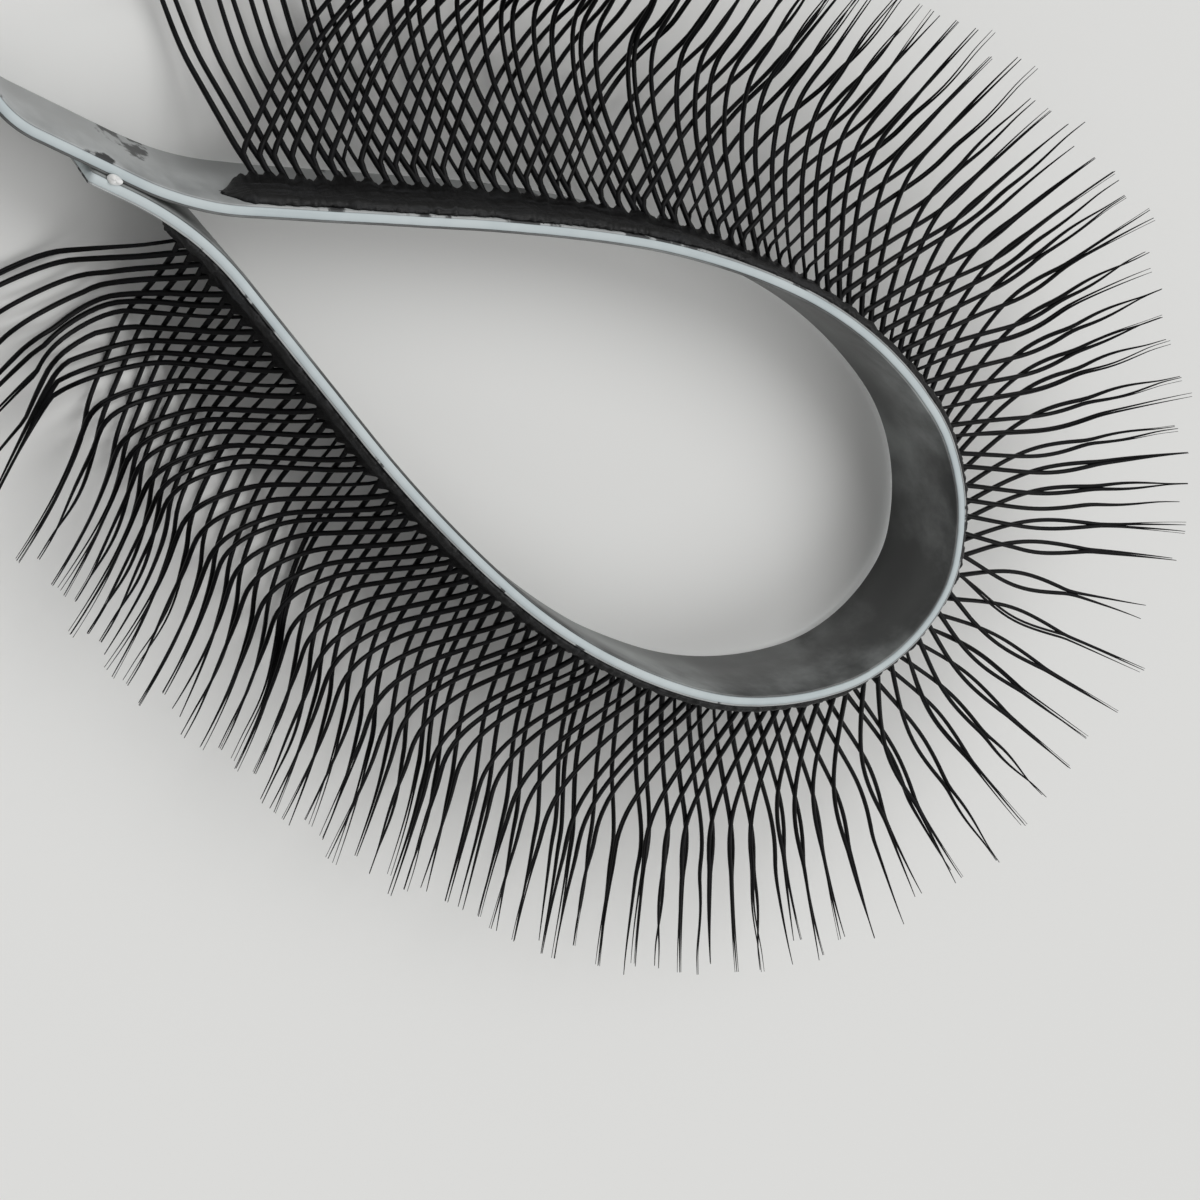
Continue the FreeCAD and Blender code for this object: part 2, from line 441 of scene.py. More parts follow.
def mottle_group() -> bpy.types.NodeTree:
    """Make the shared effect that blends two colours in soft patches.

    The patches are noise on the given coordinates, pushed towards one colour or the other.

    Returns:
        A group with a colour and a mask as outputs.
    """
    tree = bpy.data.node_groups.new("mottle", "ShaderNodeTree")
    sockets = {
        ("INPUT", "Vector"): ("Vector",), ("INPUT", "Float"): ("Scale", "Detail", "Low", "High"),
        ("INPUT", "Color"): ("First", "Second"), ("OUTPUT", "Color"): ("Color",),
        ("OUTPUT", "Float"): ("Mask",),
    }
    for (way, kind), names in sockets.items():
        for name in names:
            tree.interface.new_socket(name=name, in_out=way, socket_type="NodeSocket" + kind)
    start = tree.nodes.new("NodeGroupInput")
    end = tree.nodes.new("NodeGroupOutput")
    noise = add_node(tree, "ShaderNodeTexNoise", Roughness=NOISE_ROUGHNESS)
    ramp = add_node(tree, "ShaderNodeMapRange", interpolation_type="SMOOTHSTEP")
    mix = add_node(tree, "ShaderNodeMix", data_type="RGBA")
    # a mix node's colour inputs are its sockets 6 and 7, and its colour output is socket 2
    wires = (
        (start, "Vector", noise, "Vector"), (start, "Scale", noise, "Scale"),
        (start, "Detail", noise, "Detail"), (start, "Low", ramp, "From Min"),
        (start, "High", ramp, "From Max"), (start, "First", mix, 6), (start, "Second", mix, 7),
        (noise, "Fac", ramp, "Value"), (ramp, "Result", mix, "Factor"),
        (ramp, "Result", end, "Mask"), (mix, 2, end, "Color"),
    )
    for source, outlet, target, inlet in wires:
        tree.links.new(source.outputs[outlet], target.inputs[inlet])
    return tree


@dataclass(frozen=True)
class Finish:
    """The look of one material: two colours in patches, a gloss, a fine relief and perhaps dark specks.

    Scales are per metre on the object's coordinates and per centimetre on the strip's own.
    """

    name: str
    first: tuple[float, float, float]
    second: tuple[float, float, float]
    scale: float
    stretch: tuple[float, float, float] = (1.0, 1.0, 1.0)
    detail: float = 4.0
    low: float = 0.35
    high: float = 0.65
    roughness: float = 0.5
    roughness_spread: float = 0.1
    specular: float = 0.5
    relief: float = 0.2
    relief_depth: float = 0.00002
    speck: tuple[float, float, float] | None = None
    speck_scale: float = 1.5
    speck_detail: float = 6.0
    speck_low: float = 0.62
    speck_high: float = 0.68
    on_strip: bool = False

    def build(self, mottle: bpy.types.NodeTree) -> bpy.types.Material:
        """Make the material.

        Args:
            mottle: the shared patch group.

        Returns:
            The material, whose patterns follow the strip's own coordinates or the object's.
        """
        graph = Graph(self.name)
        place = graph.add("ShaderNodeUVMap" if self.on_strip else "ShaderNodeTexCoord")
        source = place.outputs["UV" if self.on_strip else "Object"]
        scaling = graph.add("ShaderNodeMapping", Scale=self.stretch)
        graph.link(source, scaling.inputs["Vector"])
        patches = graph.group(
            mottle, Scale=self.scale, Detail=self.detail, Low=self.low, High=self.high,
            First=(*self.first, 1.0), Second=(*self.second, 1.0),
        )
        graph.link(scaling.outputs["Vector"], patches.inputs["Vector"])
        color = patches.outputs["Color"]
        if self.speck:
            specks = graph.group(
                mottle, Scale=self.speck_scale, Detail=self.speck_detail, Low=self.speck_low,
                High=self.speck_high, Second=(*self.speck, 1.0),
            )
            graph.link(scaling.outputs["Vector"], specks.inputs["Vector"])
            graph.link(color, specks.inputs["First"])
            color = specks.outputs["Color"]
        graph.link(color, graph.shader.inputs["Base Color"])
        low, high = self.roughness - self.roughness_spread, self.roughness + self.roughness_spread
        gloss = graph.add("ShaderNodeMapRange", To_Min=low, To_Max=high)
        graph.link(patches.outputs["Mask"], gloss.inputs["Value"])
        graph.link(gloss.outputs["Result"], graph.shader.inputs["Roughness"])
        graph.bump(patches.outputs["Mask"], self.relief, self.relief_depth)
        graph.set(Specular_IOR_Level=self.specular)
        return graph.material


TAPE_FINISH = Finish(
    "pale_tape", (0.47, 0.53, 0.545), (0.55, 0.605, 0.615), scale=6.0, stretch=(0.6, 6.0, 1.0),
    roughness=0.5, on_strip=True,
)
FILM_FINISH = Finish(
    "pale_film", (0.27, 0.28, 0.28), (0.46, 0.475, 0.475), scale=1.5, stretch=(2.0, 1.2, 1.0), detail=7.0,
    roughness=0.42, speck=(0.035, 0.036, 0.037), speck_low=0.555, speck_high=0.585, on_strip=True,
)
ADHESIVE_FINISH = Finish(
    "dark_adhesive", (0.055, 0.057, 0.056), (0.31, 0.325, 0.32), scale=1.0, stretch=(1.5, 1.2, 1.0),
    detail=8.0, low=0.42, high=0.72, roughness=0.45, relief=0.3,
    speck=(0.02, 0.021, 0.02), speck_scale=0.8, speck_low=0.60, speck_high=0.66, on_strip=True,
)
# the root glue's second colour is a lighter bluish black in streaks along the tape. It is partly the fused
# band's ridges, which the same streaks raise in relief, and partly painted sheen standing for the band's
# faint highlights
ROOT_FINISH = Finish(
    "black_root_glue_with_painted_sheen", (0.004, 0.004, 0.004), (0.022, 0.023, 0.025), scale=9.0, stretch=(0.5, 9.0, 1.0),
    detail=8.0, low=0.45, high=0.75, roughness=0.55, specular=0.3, relief=0.5, relief_depth=0.00004,
    on_strip=True,
)
FIBRE_FINISH = Finish(
    "black_fibre", (0.002, 0.002, 0.002), (0.005, 0.005, 0.006), scale=900.0, roughness=0.45, specular=0.14,
)
BEAD_FINISH = Finish(
    "white_adhesive", (0.72, 0.72, 0.70), (0.82, 0.82, 0.81), scale=3000.0, roughness=0.4,
)


@dataclass
class Workshop:
    """Finishes and the calls that hand a piece to the frame."""

    materials: dict[Slot, bpy.types.Material] = field(default_factory=dict)

    def prepare(self) -> None:
        """Build each slot's material."""
        mottle = mottle_group()
        finishes = {
            Slot.TAPE: TAPE_FINISH, Slot.FILM: FILM_FINISH, Slot.ADHESIVE: ADHESIVE_FINISH,
            Slot.ROOT_GLUE: ROOT_FINISH, Slot.FIBRE: FIBRE_FINISH, Slot.BEAD: BEAD_FINISH,
        }
        for slot, finish in finishes.items():
            self.materials[slot] = finish.build(mottle)

    def hand_over(self, piece: bpy.types.Object, slot: Slot, *nodes: str) -> None:
        """Give a piece its finish and let it ride and stand for its nodes.

        Args:
            piece: the new piece.
            slot: the finish that it takes.
            nodes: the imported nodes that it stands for.
        """
        piece.data.materials.append(self.materials[slot])
        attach(piece, BODY)
        if nodes:
            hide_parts(*nodes)
        LOG.info("%s: %d faces for %s", piece.name, len(piece.data.polygons), nodes or "itself")


@dataclass
class Tape:
    """The tape's three layers: the core, the adhesive on its inner face and the film on its outer face."""

    route: TapeRoute
    shop: Workshop
    core: float = 0.13
    adhesive: float = 0.08
    film: float = 0.06
    corner: float = 0.02
    edge_recess: float = 0.03
    waviness: float = 0.012
    wave_reach: int = 9
    stations: int = 520
    seed: int = 11

    def section(
        self, low: float, high: float, top: float, rng: np.random.Generator
    ) -> tuple[np.ndarray, np.ndarray, np.ndarray]:
        """Give a layer's rings: a rectangle with cut corners and an uneven upper edge.

        Args:
            low: how far outward its inner face lies.
            high: how far outward its outer face lies.
            top: how high its upper edge lies.
            rng: the source of random numbers.

        Returns:
            The stations along the route, and how far outward and how high each ring's points lie.
        """
        along = np.linspace(0.0, self.route.length, self.stations)
        width = self.route.tape_width
        cut = min(self.corner, (high - low) / 3)
        across = np.array([low, low, low + cut, high - cut, high, high, high - cut, low + cut])
        rise = np.array([cut, top - cut, top, top, top - cut, cut, 0.0, 0.0])
        across = np.repeat(across[None], self.stations, axis=0)
        height = np.repeat(rise[None], self.stations, axis=0)
        wave = self.waviness * wander(rng, self.stations, self.wave_reach)
        height += np.where(rise > width / 2, wave[:, None], 0.0)
        return along, across, height

    def build(self) -> None:
        """Make the three layers."""
        width = self.route.tape_width
        layers = (
            ("tape_core_strip", "tape_core", Slot.TAPE, -self.core, self.core, width),
            ("inner_adhesive_layer", "inner_adhesive", Slot.ADHESIVE, -self.core - self.adhesive,
             -self.core, width - self.edge_recess),
            ("outer_film_layer", "outer_film", Slot.FILM, self.core, self.core + self.film, width),
        )
        for name, node, slot, low, high, top in layers:
            rng = np.random.default_rng(self.seed)
            along, across, height = self.section(low, high, top, rng)
            piece = ribbon(name, self.route, along, across, height)
            self.shop.hand_over(piece, slot, node)


@dataclass
class RootBand:
    """The black band on the tape's outer face, with its torn start and the webs between the roots."""

    route: TapeRoute
    shop: Workshop
    weave: LashWeave
    face: float = 0.19
    thickness: float = 0.26
    least_thickness: float = 0.05
    sunk: float = 0.01
    setback: float = 0.12
    margin: float = 1.1
    fade_rate: float = 1.3
    end_height_share: float = 0.25
    end_thickness_share: float = 0.3
    ragged: float = 0.03
    ragged_reach: int = 3
    slow: float = 0.05
    slow_reach: int = 25
    puffed: float = 0.02
    puffed_reach: int = 5
    web_gap: float = 0.26
    web_root: float = 0.5
    tooth_lean: float = 0.2
    tooth_rate: float = 2.4
    # the section's corners: below the top, above the foot twice, and how far the outer face draws in
    shoulder: float = 0.14
    belly: float = 0.35
    ankle: float = 0.14
    draw_in: tuple[float, float] = (0.02, 0.06)
    stations_per_root: int = 8
    seed: int = 5

    def build(self) -> None:
        """Make the band as a ribbon whose skirt runs out along each root and webs the gaps between them."""
        rng = np.random.default_rng(self.seed)
        weave = self.weave
        first = weave.first - self.margin
        last = weave.last + self.margin
        count = self.stations_per_root * len(weave.roots)
        along = np.linspace(first, last, count)
        ragged = self.ragged * wander(rng, count, self.ragged_reach)
        slow = self.slow * wander(rng, count, self.slow_reach)
        nearest = np.abs(along[:, None] - weave.roots[None] + self.tooth_lean).min(axis=1) / weave.pitch
        skirt = self.web_gap + (self.web_root - self.web_gap) * (1.0 - smooth(nearest * self.tooth_rate))
        fade = smooth(np.minimum(along - first, last - along) / self.margin * self.fade_rate)
        skirt = (skirt + ragged) * fade
        top = self.route.tape_width - self.setback + ragged + slow
        foot = weave.root_height + 0.0 * along
        middle = 0.5 * (top + foot)
        narrowed = self.end_height_share + (1.0 - self.end_height_share) * fade
        thinned = self.end_thickness_share + (1.0 - self.end_thickness_share) * fade
        top = middle + (top - middle) * narrowed
        foot = middle + (foot - middle) * narrowed
        puff = self.thickness * thinned + self.puffed * wander(rng, count, self.puffed_reach)
        inner = np.full(count, self.face - self.sunk)
        outer = self.face + np.maximum(puff, self.least_thickness)
        reach = skirt * math.sin(weave.root_angle)
        sink = skirt * math.cos(weave.root_angle)
        across = np.stack([
            inner, inner, 0.5 * (inner + outer), outer, outer - self.draw_in[0],
            outer - self.draw_in[1] + reach, self.face + reach,
        ], axis=1)
        height = np.stack([
            foot, top, top, top - self.shoulder, foot + self.belly, foot + self.ankle - sink, foot - sink,
        ], axis=1)
        piece = ribbon("root_band_strip", self.route, along, across, height)
        self.shop.hand_over(piece, Slot.ROOT_GLUE, "root_band")


@dataclass(frozen=True)
class SpikeShape:
    """How far apart the two stems of a spike run, in millimetres, by the way that the spike ends.

    Each pair is the share of the stem's length where a change begins and how long it is.
    """

    beside: float = 0.045
    closing: tuple[float, float] = (0.75, 0.25)
    bow: tuple[float, float] = (0.64, 0.3)
    bow_gap: float = 0.13
    bow_power: float = 1.4
    fork: tuple[float, float] = (0.72, 0.28)
    fork_gap: float = 0.22
    fork_power: float = 1.3

    def gaps(self, shares: np.ndarray) -> np.ndarray:
        """Give the gap from the spike's middle line to a stem: closing, closing round a bow, or forking.

        Args:
            shares: shares of the stem's length.

        Returns:
            A row of gaps for each tip style, in their order.
        """
        bow = np.sin(math.pi * np.clip((shares - self.bow[0]) / self.bow[1], 0.0, 1.0)) ** self.bow_power
        fork = np.clip((shares - self.fork[0]) / self.fork[1], 0.0, 1.0) ** self.fork_power
        close = self.beside * (1.0 - ease(shares, self.closing))
        return np.stack([close, close + self.bow_gap * bow, close + self.fork_gap * fork])


@dataclass(frozen=True)
class FibreShape:
    """How a stem splits into the fibres that show: twins, a main fibre with a stray one, or one alone.

    A thickness is a share of the stem's, and a run is a share of its length.
    """

    twin_chance: float = 0.2
    twin_gap: float = 0.045
    twin_late_gap: float = 0.05
    twin_thickness: float = 0.62
    stray_chance: float = 0.42
    stray_gap: float = 0.03
    stray_reach: float = 0.5
    stray_thickness: float = 0.4
    main_thickness: float = 0.95
    parting: tuple[float, float] = (0.1, 0.2)
    ending: tuple[float, float] = (0.72, 0.28)

    def split(self, shares: np.ndarray, dice: float) -> list[tuple[np.ndarray, float]]:
        """Choose how one stem splits.

        Args:
            shares: shares of the stem's length.
            dice: a number from 0 to 1 that chooses.

        Returns:
            For each fibre how far it runs beside the stem's line, and its thickness.
        """
        out = ease(shares, self.parting)
        late = ease(shares, self.ending)
        if dice < self.twin_chance:
            second = self.twin_gap * out + self.twin_late_gap * late
            return [(-self.twin_gap * out, self.twin_thickness), (second, self.twin_thickness)]
        if dice < self.stray_chance:
            stray = (dice - self.twin_chance) * self.stray_reach * late + self.stray_gap * out
            return [(0.0 * out, self.main_thickness), (stray, self.stray_thickness)]
        return [(0.0 * out, 1.0)]


@dataclass
class LashWeave:
    """The woven lashes: two stems from each root, one leaning each way, in two layers.

    A stem lies in a sheet that hangs from the root band, curls under and outwards on one arc and flares back
    on a flatter one. Where two stems cross for the last time they run on together as a spike.
    """

    route: TapeRoute
    shop: Workshop
    bare_upper: float = 3.9
    bare_lower: float = 2.45
    pitch: float = 0.545
    face: float = 0.19
    root_drop: float = 1.6
    root_angle: float = math.radians(50.0)
    hang_length: float = 3.5
    curl_length: float = 3.9
    curl_radius: float = 2.33
    flare_length: float = 5.7
    flare_radius: float = 11.7
    lean_angle: float = math.radians(24.5)
    layer: float = 0.16
    settle: float = 1.2
    ceiling: float = 4.95
    cushion: float = 0.22
    nudge: float = 0.000001
    tilt_upper: float = 1.0
    tilt_lower: float = 0.35
    bend_window: float = 6.0
    bundle_upper: float = 1.04
    bundle_lower: float = 0.24
    split_run: float = 0.6
    tightest_bend: float = 0.24
    taut_bend: float = 0.07
    fan_lean_share: float = 0.5
    fan_merge_share: float = 0.84
    tautness: float = 0.92
    sag: float = 0.7
    lean_ends: tuple[float, float] = (0.4, 0.68)
    free_ends: tuple[float, float] = (0.6, 1.25)
    join_run: float = 0.2
    match_share: float = 0.7
    parting: tuple[float, float] = (0.5, 1.0)
    layers_close: tuple[float, float] = (0.5, 0.2)
    layers_close_share: float = 0.6
    tilt_fade: tuple[float, float] = (0.35, 0.5)
    lifts: tuple[float, float] = (-0.25, 0.05)
    lift_run: tuple[float, float] = (0.5, 0.5)
    spreads: tuple[float, float] = (0.5, 1.0)
    swell_end: float = 0.45
    thinnest_share: float = 0.7
    fans_per_node: int = 4
    sections: int = 40
    fine_sections: int = 240
    sides: int = 6
    root_radius: float = 0.098
    stem_radius: float = 0.08
    tip_radius: float = 0.013
    full_share: float = 0.64
    root_jitter: float = 0.17
    lean_jitter: float = math.radians(1.1)
    lean_reach: int = 2
    shortest: float = 0.93
    free_stretch: float = 0.95
    tip_mix: tuple[float, float, float] = (0.42, 0.34, 0.24)
    spike: SpikeShape = SpikeShape()
    fibre: FibreShape = FibreShape()
    seed: int = 23

    def __post_init__(self) -> None:
        """Spread the roots along the band and prepare the sheet's widening beside each root."""
        self.first = self.route.loop_start + self.bare_upper
        self.last = self.route.loop_end - self.bare_lower
        self.rng = np.random.default_rng(self.seed)
        count = int((self.last - self.first) / self.pitch) + 1
        even = self.first + (self.last - self.first) * (np.arange(count) + 0.5) / count
        self.roots = even + self.root_jitter * self.pitch * self.rng.uniform(-1.0, 1.0, count)
        self.length = self.hang_length + self.curl_length + self.flare_length
        self.root_height = self.route.tape_width - self.root_drop
        self.shares = np.linspace(0.0, 1.0, self.sections)
        self.bend = self.bends()
        self.tightness = smooth(self.bend / self.tightest_bend)
        self.taut = self.tautness * smooth(self.bend / self.taut_bend)
        out, _ = self.profile(self.shares * self.length, 0.0)
        self.widening = 1.0 + self.bend[:, None] * out[None]

    def profile(self, down: np.ndarray, outward: np.ndarray | float) -> tuple[np.ndarray, np.ndarray]:
        """Give how far out and how high the sheet is at a distance down it and out from its back.

        The sheet hangs straight at the root angle, turns up on the curl's arc and back on the flare's. Out
        is the integral of the sine of the angle from straight down, and rise that of minus its cosine.

        Args:
            down: distances down the sheet.
            outward: distances out from its back.

        Returns:
            How far out and how high, both counted from the root.
        """
        straight = np.minimum(down, self.hang_length)
        curled = self.hang_length + self.curl_length
        under = self.root_angle + (np.minimum(down, curled) - straight) / self.curl_radius
        angle = under - np.maximum(down - curled, 0.0) / self.flare_radius
        out = straight * math.sin(self.root_angle)
        out = out + self.curl_radius * (math.cos(self.root_angle) - np.cos(under))
        out = out + self.flare_radius * (np.cos(angle) - np.cos(under))
        rise = -straight * math.cos(self.root_angle)
        rise = rise + self.curl_radius * (math.sin(self.root_angle) - np.sin(under))
        rise = rise + self.flare_radius * (np.sin(angle) - np.sin(under))
        turned = angle * smooth(down / self.settle)
        return out + outward * np.cos(turned), rise + outward * np.sin(turned)

    def bends(self) -> np.ndarray:
        """Measure how much the route bends about each root.

        Returns:
            The mean outward bend over the bend window, in radians for each millimetre.
        """
        _, _, before = self.route.at(self.roots - self.bend_window / 2)
        _, _, after = self.route.at(self.roots + self.bend_window / 2)
        return np.maximum(before - after, 0.0) / self.bend_window

    def drifts(self, side: Side, lean: np.ndarray, free: np.ndarray) -> np.ndarray:
        """Give how far along the tape each stem of one layer has leaned at each section.

        A fan's front stem follows its back stem for the length of the bundle and then turns the other way.
        Where the tape bends, the stems lean less and the sheet widens outwards, so that a sideways reach
        counts for less along the tape. Stems lean until they join a spike, and free ones go on leaning.

        Args:
            side: the layer.
            lean: each stem's angle of lean.
            free: whether each stem stays free of a spike.

        Returns:
            A row of drifts in millimetres for each stem.
        """
        fine = np.linspace(0.0, 1.0, self.fine_sections)
        down = fine * self.length
        tight = self.tightness[:, None]
        shift = 1.0 - (1.0 - self.fan_merge_share) * tight
        begin = np.where(free[:, None], self.free_ends[0], self.lean_ends[0] * shift)
        end = np.where(free[:, None], self.free_ends[1], self.lean_ends[1] * shift)
        leaning = 1.0 - smooth((fine[None] - begin) / (end - begin))
        split = np.linspace(self.bundle_upper, self.bundle_lower, len(lean))[:, None]
        turned = 2.0 * smooth((down[None] - split) / self.split_run + 0.5) - 1.0
        way = turned if side is Side.FRONT else -1.0
        rate = np.tan(lean[:, None] * (1.0 - self.fan_lean_share * tight)) * leaning * way
        steps = 0.5 * (rate[:, 1:] + rate[:, :-1]) * self.length * (fine[1] - fine[0])
        reach = np.concatenate([np.zeros((len(rate), 1)), np.cumsum(steps, axis=1)], axis=1)
        out, _ = self.profile(np.minimum(down, self.lean_ends[1] * self.length), 0.0)
        total = reach / (1.0 + self.bend[:, None] * out[None])
        return np.stack([np.interp(self.shares, fine, row) for row in total])

    def gather(self, ends: dict[Side, np.ndarray]) -> tuple[np.ndarray, dict[Side, np.ndarray]]:
        """Find the spikes: places where a back stem's end and a front stem's end come together.

        The two layers' ends are matched in their order along the tape. An end left over between other
        spikes stands alone, and one before the first spike or past the last stays free.

        Args:
            ends: each layer's ends along the tape.

        Returns:
            The spikes' places along the tape, and each stem's spike, or -1 for a stem that stays free.
        """
        orders = {side: list(np.argsort(ends[side])) for side in Side}
        owners = {side: np.full(len(ends[side]), -1) for side in Side}
        places = []
        while orders[Side.BACK] and orders[Side.FRONT]:
            heads = {side: ends[side][orders[side][0]] for side in Side}
            gap = heads[Side.FRONT] - heads[Side.BACK]
            if abs(gap) < self.match_share * self.pitch:
                taken = tuple(Side)
            else:
                taken = (Side.BACK,) if gap > 0.0 else (Side.FRONT,)
            numbers = {side: orders[side].pop(0) for side in taken}
            if len(taken) == 1 and (not places or not all(orders.values())):
                continue
            for side, number in numbers.items():
                owners[side][number] = len(places)
            places.append(float(np.mean([heads[side] for side in taken])))
        return np.array(places), owners

    def build(self) -> None:
        """Lay every stem's path, join the stems in spikes and make the pieces."""
        count = len(self.roots)
        leans = {}
        for side in Side:
            leans[side] = self.lean_angle + self.lean_jitter * wander(self.rng, count, self.lean_reach)
        drift = {side: self.drifts(side, leans[side], np.zeros(count, bool)) for side in Side}
        ends = {side: self.roots + drift[side][:, -1] for side in Side}
        places, owners = self.gather(ends)
        styles = self.rng.choice([style.value for style in TipStyle], size=len(places), p=self.tip_mix)
        spreads = self.rng.uniform(*self.spreads, len(places))
        stretches = self.rng.uniform(self.shortest, 1.0, len(places))
        ramp = np.minimum(self.shares / self.lean_ends[1], 1.0)
        apart = self.spike.gaps(self.shares) * ease(self.shares, (self.lean_ends[0], self.join_run))
        stems = {}
        for side in Side:
            owner = owners[side]
            joined = owner >= 0
            path = np.where(joined[:, None], drift[side], self.drifts(side, leans[side], ~joined))
            pull = np.where(joined, places[owner] - ends[side], 0.0)
            spread = side.value * (joined * spreads[owner])[:, None] * apart[styles[owner]]
            path = self.roots[:, None] + path + pull[:, None] * ramp[None] + spread / self.widening
            stems[side] = (path, np.where(joined, stretches[owner], self.free_stretch))
        self.make_nodes(stems)

    def make_nodes(self, stems: dict[Side, tuple[np.ndarray, np.ndarray]]) -> None:
        """Turn the stems' paths into fibres and make one piece for each node.

        Args:
            stems: for each layer the stems' paths along the tape and how far each stem is stretched.
        """
        count = len(self.roots)
        lifts = self.rng.uniform(*self.lifts, count)
        doubles = {side: self.rng.uniform(size=count) for side in Side}
        for number, begin in enumerate(range(0, count, self.fans_per_node), start=1):
            fibres = []
            for root in range(begin, min(begin + self.fans_per_node, count)):
                for side in Side:
                    paths, stretches = stems[side]
                    dice = doubles[side][root]
                    fibres += self.fibres(root, paths[root], side, stretches[root], lifts[root], dice)
            centres, outs, radii = (np.array(rows) for rows in zip(*fibres))
            piece = tubes("lashes_%02d" % number, centres, outs, radii, self.sides)
            self.shop.hand_over(piece, Slot.FIBRE, "lash_fans_%02d" % number)

    def fibres(
        self, root: int, along: np.ndarray, side: Side, stretch: float, lift: float, dice: float
    ) -> list[tuple[np.ndarray, np.ndarray, np.ndarray]]:
        """Split one stem into the fibres that show, and thin them towards their tips.

        Args:
            root: the number of the stem's root.
            along: the stem's path along the tape.
            side: its layer.
            stretch: how much of the sheet's length it takes.
            lift: how much higher its tip lies.
            dice: the number that chooses how it splits.

        Returns:
            For each fibre its centres, the ways out of the sheet, and its radii.
        """
        taper = np.clip((self.shares - self.full_share) / (1.0 - self.full_share), 0.0, 1.0)
        swell = (self.root_radius - self.stem_radius) * (1.0 - smooth(self.shares / self.swell_end))
        full = self.stem_radius + swell + (self.tip_radius - self.stem_radius) * taper
        thinnest = self.tip_radius * self.thinnest_share
        made = []
        for beside, share in self.fibre.split(self.shares, dice):
            path = along + side.value * beside / self.widening[root]
            centre, way = self.sheet_points(path, side, stretch, lift, self.taut[root])
            made.append((centre, way, np.maximum(full * share, thinnest)))
        return made

    def sheet_points(
        self, along: np.ndarray, side: Side, stretch: float, lift: float, taut: float
    ) -> tuple[np.ndarray, np.ndarray]:
        """Place a fibre in the sheet, and give the way out of the sheet beside it.

        Where the strip bends, the sheet is drawn taut: it sags less between its root and its tip. A height
        is kept over the floor by cushion * log(1 + exp(depth / cushion)), which bends without a corner.

        Args:
            along: the fibre's path along the tape.
            side: its layer.
            stretch: how much of the sheet's length it takes.
            lift: how much higher its tip lies.
            taut: how taut the sheet is, from 0 to 1.

        Returns:
            The fibre's centres and the ways out of the sheet.
        """
        down = self.shares * self.length * stretch
        closed = 1.0 - self.layers_close_share * ease(self.shares, self.layers_close)
        outward = self.layer * (1.0 + side.value / 2 * ease(down, self.parting) * closed)
        middle = 0.5 * (self.first + self.last)
        tilt = self.tilt_upper if along[0] < middle else self.tilt_lower
        tilting = tilt * (1.0 - ease(self.shares, self.tilt_fade))
        edge = np.clip(along, self.first, self.last)
        _, _, heading = self.route.at(edge)
        forward = np.stack([np.cos(heading), np.sin(heading), 0.0 * heading], axis=-1)
        points = []
        for extra in (0.0, self.layer):
            out, rise = self.profile(down, outward + extra)
            taut_rise = rise[-1] * self.shares - 4.0 * self.sag * self.shares * (1.0 - self.shares)
            out = out + (out[-1] * self.shares - out) * taut
            rise = rise + (taut_rise + (outward + extra) * (1.0 - self.shares) - rise) * taut
            height = self.root_height + rise + lift * ease(self.shares, self.lift_run)
            point = self.route.place(edge, self.face + out, height, tilting=tilting)
            point = point + (along - edge)[:, None] * forward
            depth = (point[:, 2] - self.root_radius) / self.cushion
            point[:, 2] = np.minimum(self.root_radius + self.cushion * np.logaddexp(0.0, depth), self.ceiling)
            points.append(point)
        way = points[1] - points[0]
        way[:, 2] += self.nudge
        return points[0], way


@dataclass
class Bead:
    """The bead of adhesive squeezed up where the tails meet."""

    shop: Workshop
    rings: int = 14
    around: int = 22
    share: float = 0.68
    crown: float = 0.02
    lump: float = 0.2
    lump_turn: float = 1.0
    dent: float = 0.12

    def build(self) -> None:
        """Make a lumpy half ellipsoid: radius one plus small waves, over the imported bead's box."""
        low, high = (np.array(corner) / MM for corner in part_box("adhesive_bead"))
        centre = 0.5 * (low + high)
        half = 0.5 * self.share * (high - low)
        up = np.linspace(self.crown, math.pi / 2, self.rings)
        turn = 2 * math.pi * np.arange(self.around) / self.around
        tilt, spin = np.meshgrid(up, turn, indexing="ij")
        lumps = 1.0 + self.lump * np.sin(3 * spin + self.lump_turn) * np.sin(2 * tilt)
        lumps = lumps - self.dent * np.cos(5 * spin) * np.cos(tilt)
        points = np.stack([
            centre[0] + half[0] * lumps * np.sin(tilt) * np.cos(spin),
            centre[1] + half[1] * lumps * np.sin(tilt) * np.sin(spin),
            low[2] + self.share * (high[2] - low[2]) * np.cos(tilt) * np.minimum(lumps, 1.0),
        ], axis=-1).reshape(-1, 3)
        faces = grid_faces(self.rings, self.around)[:, ::-1].tolist()
        faces.append(list(range(self.around)))
        faces.append([(self.rings - 1) * self.around + j for j in range(self.around)][::-1])
        piece = make_object("squeezed_bead", points, faces)
        self.shop.hand_over(piece, Slot.BEAD, "adhesive_bead")


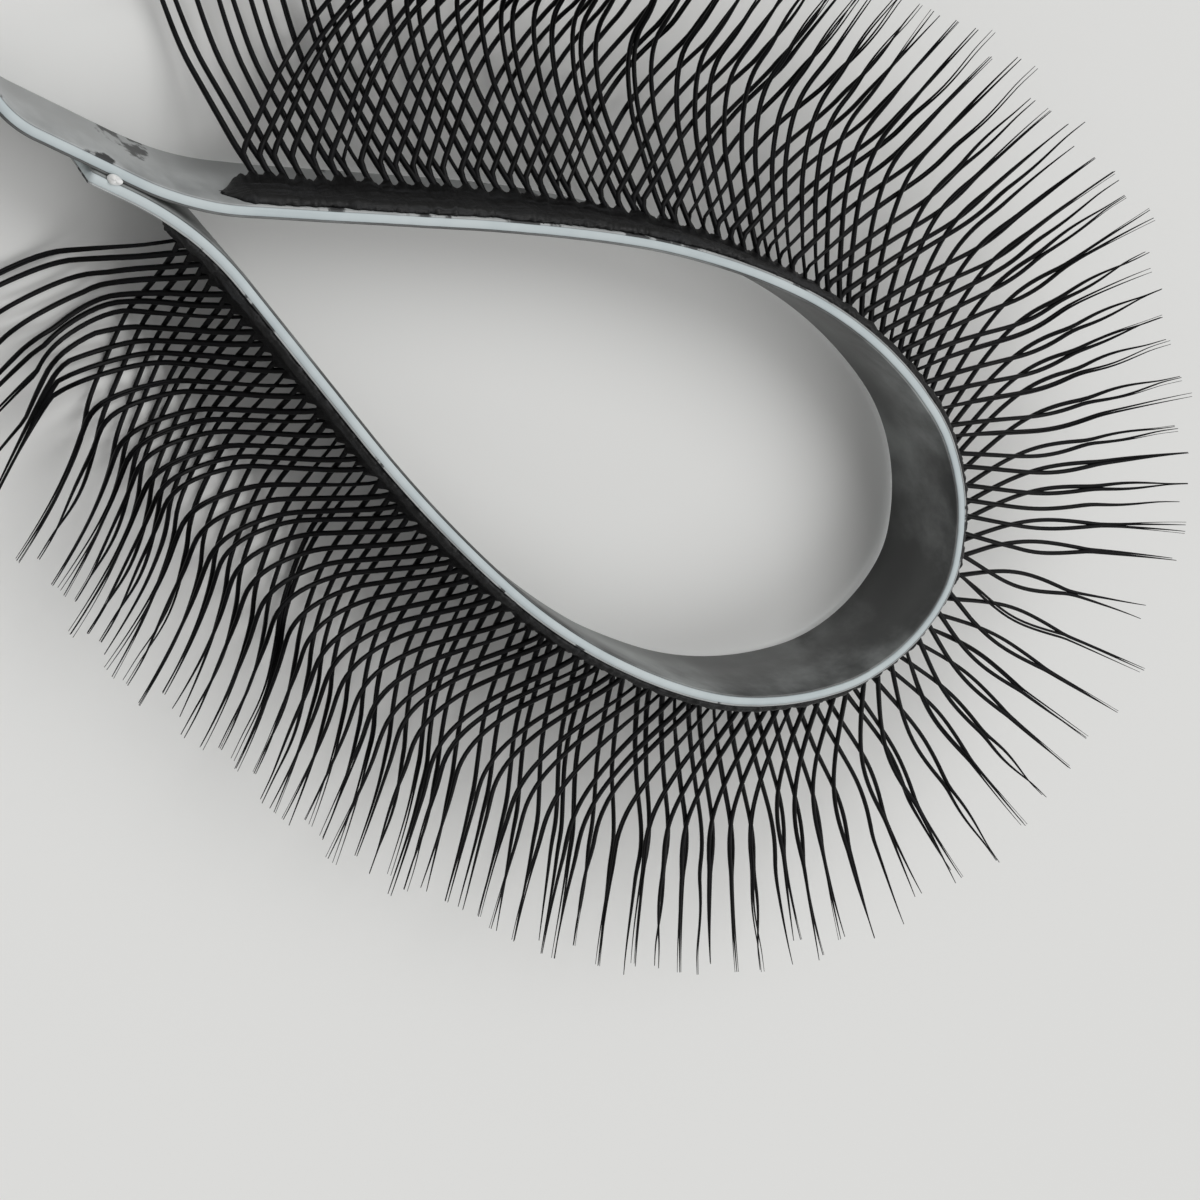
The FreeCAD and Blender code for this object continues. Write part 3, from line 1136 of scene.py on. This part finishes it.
@dataclass
class Studio:
    """The pale floor, the soft lights and the camera."""

    floor_size: float = 3.0
    floor_color: tuple[float, float, float] = (0.80, 0.80, 0.785)
    floor_roughness: float = 0.9
    floor_specular: float = 0.1
    sky_color: tuple[float, float, float] = (1.0, 1.0, 1.0)
    sky_strength: float = 0.42
    lamp_ways: tuple[tuple[float, float, float], ...] = ((0.08, 0.60, 0.80), (0.66, -0.14, 0.74))
    lamp_strengths: tuple[float, ...] = (1.12, 0.78)
    lamp_angle: float = math.radians(40.0)
    camera_place: tuple[float, float, float] = (-46.003, 2.724, 70.985)
    camera_right: tuple[float, float, float] = (0.75618, 0.44629, 0.47855)
    camera_down: tuple[float, float, float] = (0.3181, -0.88981, 0.32718)
    camera_lens: float = 75.0
    camera_clip: tuple[float, float] = (0.001, 10.0)
    sensor: float = 36.0

    def build(self) -> None:
        """Set the stage."""
        self.build_floor()
        self.build_lights()
        self.build_camera()

    def build_floor(self) -> None:
        """Lay a large plain floor at the height that the strip stands on."""
        half = self.floor_size / 2 / MM
        corners = half * np.array([[-1.0, -1.0, 0.0], [1.0, -1.0, 0.0], [1.0, 1.0, 0.0], [-1.0, 1.0, 0.0]])
        floor = make_object("studio_floor", corners, [[0, 1, 2, 3]])
        graph = Graph("plain_floor")
        graph.set(
            Base_Color=(*self.floor_color, 1.0), Roughness=self.floor_roughness,
            Specular_IOR_Level=self.floor_specular,
        )
        floor.data.materials.append(graph.material)

    def build_lights(self) -> None:
        """Light evenly from all round, with one soft lamp from behind and a weaker one from the right."""
        world = bpy.data.worlds.new("studio")
        world.use_nodes = True
        shade = world.node_tree.nodes["Background"]
        shade.inputs["Color"].default_value = (*self.sky_color, 1.0)
        shade.inputs["Strength"].default_value = self.sky_strength
        bpy.context.scene.world = world
        for name, way, strength in zip(("key", "side"), self.lamp_ways, self.lamp_strengths):
            lamp = bpy.data.lights.new(name, "SUN")
            lamp.angle = self.lamp_angle
            lamp.energy = strength
            made = bpy.data.objects.new(name, lamp)
            made.rotation_euler = Vector(way).to_track_quat("Z", "Y").to_euler()
            bpy.context.scene.collection.objects.link(made)

    def build_camera(self) -> None:
        """Place the camera as the photograph was taken: above the tab, looking down along the loop."""
        lens = bpy.data.cameras.new("camera")
        lens.lens = self.camera_lens
        lens.sensor_width = self.sensor
        lens.clip_start, lens.clip_end = self.camera_clip
        made = bpy.data.objects.new("camera", lens)
        right = Vector(self.camera_right).normalized()
        up = -Vector(self.camera_down).normalized()
        back = right.cross(up)
        turn = Matrix((right, up, back)).transposed().to_4x4()
        made.matrix_world = Matrix.Translation(Vector(self.camera_place) * MM) @ turn
        bpy.context.scene.collection.objects.link(made)
        bpy.context.scene.camera = made
        bpy.context.scene.view_settings.view_transform = "Standard"


def main() -> None:
    """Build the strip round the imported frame."""
    logging.basicConfig(level=logging.INFO, format="%(message)s")
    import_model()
    shop = Workshop()
    shop.prepare()
    route = TapeRoute()
    Tape(route, shop).build()
    weave = LashWeave(route, shop)
    weave.build()
    RootBand(route, shop, weave).build()
    Bead(shop).build()
    Studio().build()
    bpy.context.view_layer.update()


if __name__ == "__main__":
    main()
